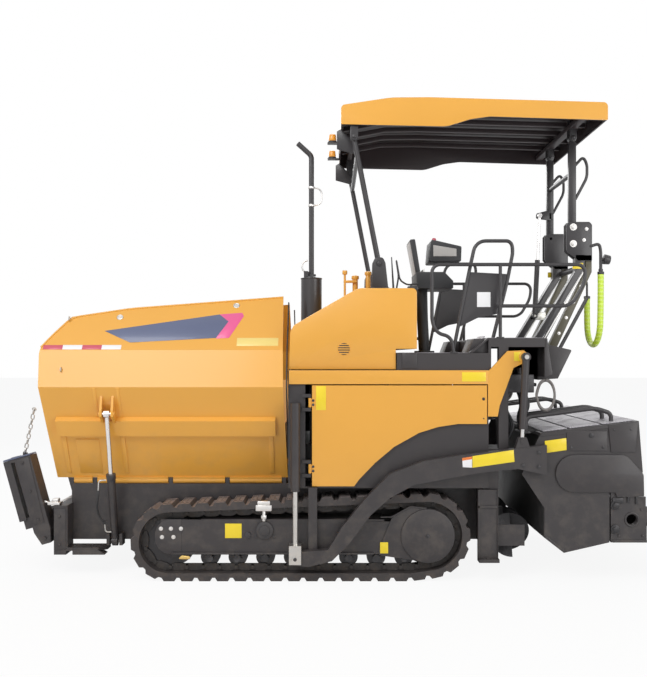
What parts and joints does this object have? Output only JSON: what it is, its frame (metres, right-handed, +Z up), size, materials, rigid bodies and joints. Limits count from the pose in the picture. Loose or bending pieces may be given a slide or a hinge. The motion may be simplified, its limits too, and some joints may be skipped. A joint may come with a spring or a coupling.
{
  "type": "asphalt paver",
  "caption": "Tracked road paver with a folding hopper, flight-bar conveyor, augers, tow arms, a raised extending screed, and an operator deck under a folding canopy.",
  "frame": {"origin": "on the ground under the middle of the machine's overall box", "axes": "+X forward towards the hopper, +Y to the machine's left, +Z up"},
  "size_m": [5.1681, 2.194, 3.7],
  "materials": {
    "black_plastic": "matt black plastic",
    "black_tube": "semi-gloss black paint",
    "bright_steel": "worn bright steel",
    "canopy_yellow": "satin yellow-orange skin",
    "cast": "dark cast iron",
    "charcoal": "satin charcoal paint",
    "chrome": "polished hard chrome",
    "track_steel": "dark weathered track steel",
    "yellow": "glossy yellow-orange paint"
  },
  "bodies": {
    "chassis": {"auger_support": "charcoal", "body_frame": "charcoal", "canopy_brackets": "charcoal", "canopy_cross_tube": "charcoal", "chassis_frame": "charcoal", "console": "black_plastic", "conveyor_chains": "track_steel", "engine_block": "cast", "engine_hood": "yellow", "front_frame": "charcoal", "guard_rails": "black_tube", "levelling_cylinders": "charcoal", "lift_brackets": "yellow", "muffler": "black_tube", "platform": "charcoal", "seat_guards": "black_tube", "track_frames": "charcoal", "track_left": "track_steel", "track_right": "track_steel", "track_wheels": "track_steel"},
    "push_rollers": {"push_rollers": "bright_steel"},
    "canopy_posts": {"canopy_posts": "black_tube"},
    "canopy": {"canopy_roof": "canopy_yellow"},
    "canopy_hoop": {"canopy_hoop": "black_tube"},
    "canopy_lift_barrel": {"canopy_lift_barrel": "charcoal"},
    "canopy_lift_rod": {"canopy_lift_rod": "chrome"},
    "exhaust_pipe": {"exhaust_pipe": "black_tube"},
    "tow_point": {"tow_points": "bright_steel"},
    "tow_pins": {"tow_pins": "bright_steel"},
    "lift_pins": {"lift_pins": "bright_steel"},
    "screed": {"tow_arms": "charcoal", "screed_body": "charcoal"},
    "screed_lift_barrels": {"screed_lift_barrels": "charcoal"},
    "screed_lift_rods": {"screed_lift_rods": "chrome"},
    "wing_left": {"hopper_wing_left": "yellow"},
    "wing_barrel_left": {"wing_barrel_left": "charcoal"},
    "wing_rod_left": {"wing_rod_left": "chrome"},
    "flap_left": {"front_flap_left": "charcoal", "flap_chain_left": "bright_steel"},
    "door_left": {"side_door_left": "yellow"},
    "auger_left": {"auger_left": "cast"},
    "extension_left": {"screed_extension_left": "charcoal"},
    "wing_right": {"hopper_wing_right": "yellow"},
    "wing_barrel_right": {"wing_barrel_right": "charcoal"},
    "wing_rod_right": {"wing_rod_right": "chrome"},
    "flap_right": {"front_flap_right": "charcoal", "flap_chain_right": "bright_steel"},
    "door_right": {"side_door_right": "yellow"},
    "auger_right": {"auger_right": "cast"},
    "extension_right": {"screed_extension_right": "charcoal"}
  },
  "joints": [
    {"name": "push_roller_spin", "type": "hinge", "parent": "chassis", "child": "push_rollers", "pos_m": [2.285, 0, 0.43], "axis": [0, 1, 0], "continuous": true},
    {"name": "wing_left_fold", "type": "hinge", "parent": "chassis", "child": "wing_left", "pos_m": [1.3, 0.615, 0.716], "axis": [-1, 0, 0], "range_deg": [0, 48]},
    {"name": "wing_barrel_left_tilt", "type": "hinge", "parent": "chassis", "child": "wing_barrel_left", "pos_m": [1.74, 0.69, 0.25], "axis": [-1, 0, 0], "range_deg": [0, 29.53]},
    {"name": "wing_rod_left_slide", "type": "slide", "parent": "wing_barrel_left", "child": "wing_rod_left", "axis": [0, 0.2617, 0.9651], "range_m": [-0.24531, 0]},
    {"name": "flap_left_tip", "type": "hinge", "parent": "chassis", "child": "flap_left", "pos_m": [2.261, 0.72, 0.292], "axis": [0, 1, 0], "range_deg": [0, 60]},
    {"name": "door_left_open", "type": "hinge", "parent": "chassis", "child": "door_left", "pos_m": [0.205, 0.962, 1.1], "axis": [0, 0, -1], "range_deg": [0, 100]},
    {"name": "auger_left_spin", "type": "hinge", "parent": "chassis", "child": "auger_left", "pos_m": [-1.367, 0.4, 0.3], "axis": [0, 1, 0], "continuous": true},
    {"name": "extension_left_slide", "type": "slide", "parent": "screed", "child": "extension_left", "axis": [0, 1, 0], "range_m": [0, 0.75]},
    {"name": "wing_right_fold", "type": "hinge", "parent": "chassis", "child": "wing_right", "pos_m": [1.3, -0.615, 0.716], "axis": [1, 0, 0], "range_deg": [0, 48]},
    {"name": "wing_barrel_right_tilt", "type": "hinge", "parent": "chassis", "child": "wing_barrel_right", "pos_m": [1.74, -0.69, 0.25], "axis": [1, 0, 0], "range_deg": [0, 29.53]},
    {"name": "wing_rod_right_slide", "type": "slide", "parent": "wing_barrel_right", "child": "wing_rod_right", "axis": [0, -0.2617, 0.9651], "range_m": [-0.24531, 0]},
    {"name": "flap_right_tip", "type": "hinge", "parent": "chassis", "child": "flap_right", "pos_m": [2.261, -0.72, 0.292], "axis": [0, 1, 0], "range_deg": [0, 60]},
    {"name": "door_right_open", "type": "hinge", "parent": "chassis", "child": "door_right", "pos_m": [0.205, -0.962, 1.1], "axis": [0, 0, 1], "range_deg": [0, 100]},
    {"name": "auger_right_spin", "type": "hinge", "parent": "chassis", "child": "auger_right", "pos_m": [-1.367, -0.4, 0.3], "axis": [0, 1, 0], "continuous": true},
    {"name": "extension_right_slide", "type": "slide", "parent": "screed", "child": "extension_right", "axis": [0, -1, 0], "range_m": [0, 0.75]},
    {"name": "canopy_fold", "type": "hinge", "parent": "chassis", "child": "canopy_posts", "pos_m": [-1.937, 0, 2.756], "axis": [0, 1, 0], "range_deg": [0, 75]},
    {"name": "canopy_level", "type": "hinge", "parent": "canopy_posts", "child": "canopy", "pos_m": [-1.937, 0, 3.49], "axis": [0, 1, 0], "range_deg": [-75.01, 0]},
    {"name": "hoop_tilt", "type": "hinge", "parent": "chassis", "child": "canopy_hoop", "pos_m": [-0.328, 0, 2.42], "axis": [0, 1, 0], "range_deg": [0, 52.87]},
    {"name": "canopy_barrel_tilt", "type": "hinge", "parent": "chassis", "child": "canopy_lift_barrel", "pos_m": [-1.78, -0.285, 2.06], "axis": [0, 1, 0], "range_deg": [0, 8.78]},
    {"name": "canopy_rod_slide", "type": "slide", "parent": "canopy_lift_barrel", "child": "canopy_lift_rod", "axis": [-0.0501, 0, 0.9987], "range_m": [-0.25498, 0]},
    {"name": "exhaust_fold", "type": "hinge", "parent": "chassis", "child": "exhaust_pipe", "pos_m": [0.248, 0.45, 2.372], "axis": [0, 1, 0], "range_deg": [0, 90.01]},
    {"name": "tow_point_slide", "type": "slide", "parent": "chassis", "child": "tow_point", "axis": [0, 0, 1], "range_m": [0, 0.25]},
    {"name": "tow_pivot", "type": "hinge", "parent": "tow_point", "child": "tow_pins", "pos_m": [0.312, 0, 0.192], "axis": [0, 1, 0], "range_deg": [-8.46, 0]},
    {"name": "screed_lift", "type": "hinge", "parent": "tow_pins", "child": "screed", "pos_m": [0.312, 0, 0.192], "axis": [0, 1, 0], "range_deg": [-6.2, 0]},
    {"name": "lift_pin_swing", "type": "hinge", "parent": "chassis", "child": "lift_pins", "pos_m": [-1.413, 0, 1.695], "axis": [0, 1, 0], "range_deg": [-0.01, 10.01]},
    {"name": "screed_barrel_tilt", "type": "hinge", "parent": "lift_pins", "child": "screed_lift_barrels", "pos_m": [-1.413, 0, 1.695], "axis": [0, 1, 0], "range_deg": [-0.01, 6.62]},
    {"name": "screed_rod_slide", "type": "slide", "parent": "screed_lift_barrels", "child": "screed_lift_rods", "axis": [0.0479, 0, -0.9988], "range_m": [-0.0001, 0.18943]}
  ],
  "couplings": [
    {"joint": "wing_barrel_left_tilt", "follows": "wing_left_fold", "ratio": 0.61494},
    {"joint": "wing_rod_left_slide", "follows": "wing_left_fold", "m_per_rad": -0.29269},
    {"joint": "wing_barrel_right_tilt", "follows": "wing_right_fold", "ratio": 0.61494},
    {"joint": "wing_rod_right_slide", "follows": "wing_right_fold", "m_per_rad": -0.29269},
    {"joint": "canopy_level", "follows": "canopy_fold", "ratio": -1},
    {"joint": "hoop_tilt", "follows": "canopy_fold", "ratio": 0.70481},
    {"joint": "canopy_barrel_tilt", "follows": "canopy_fold", "ratio": 0.11698},
    {"joint": "canopy_rod_slide", "follows": "canopy_fold", "m_per_rad": -0.19471},
    {"joint": "exhaust_fold", "follows": "canopy_fold", "ratio": 1.2},
    {"joint": "tow_pivot", "follows": "tow_point_slide", "rad_per_m": -0.58997},
    {"joint": "lift_pin_swing", "follows": "tow_point_slide", "rad_per_m": 0.69812},
    {"joint": "screed_barrel_tilt", "follows": "screed_lift", "ratio": -1.0663},
    {"joint": "screed_rod_slide", "follows": "screed_lift", "m_per_rad": -1.7496}
  ]
}
